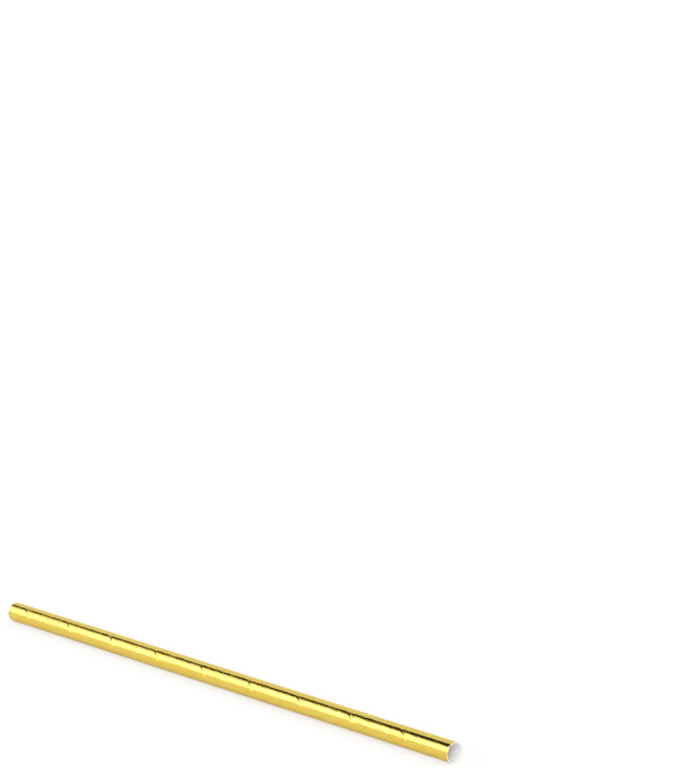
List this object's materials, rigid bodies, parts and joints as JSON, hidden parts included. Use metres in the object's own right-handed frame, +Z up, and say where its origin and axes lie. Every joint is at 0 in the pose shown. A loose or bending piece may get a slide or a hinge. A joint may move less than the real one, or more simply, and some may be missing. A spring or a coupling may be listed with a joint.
{
  "type": "foil-faced paper drinking straw",
  "caption": "Straight open paper drinking straw, lying on its side: a white wound tube in a glossy gold foil face, with a fine spiral seam and ends cut square.",
  "frame": {"origin": "on the surface that the straw lies on, under the middle of its length", "axes": "+X along the straw's axis, +Z up, +Y square to the straw in the plane of the surface; the seam is a right-handed helix about +X"},
  "size_m": [0.197, 0.006, 0.006],
  "materials": {
    "white_paper": "uncoated white paper, matte, with faintly fibrous cut ends",
    "gold_foil": "gloss"
  },
  "bodies": {
    "root": {"paper_tube": "white_paper", "foil_wrap": "gold_foil"}
  },
  "joints": []
}
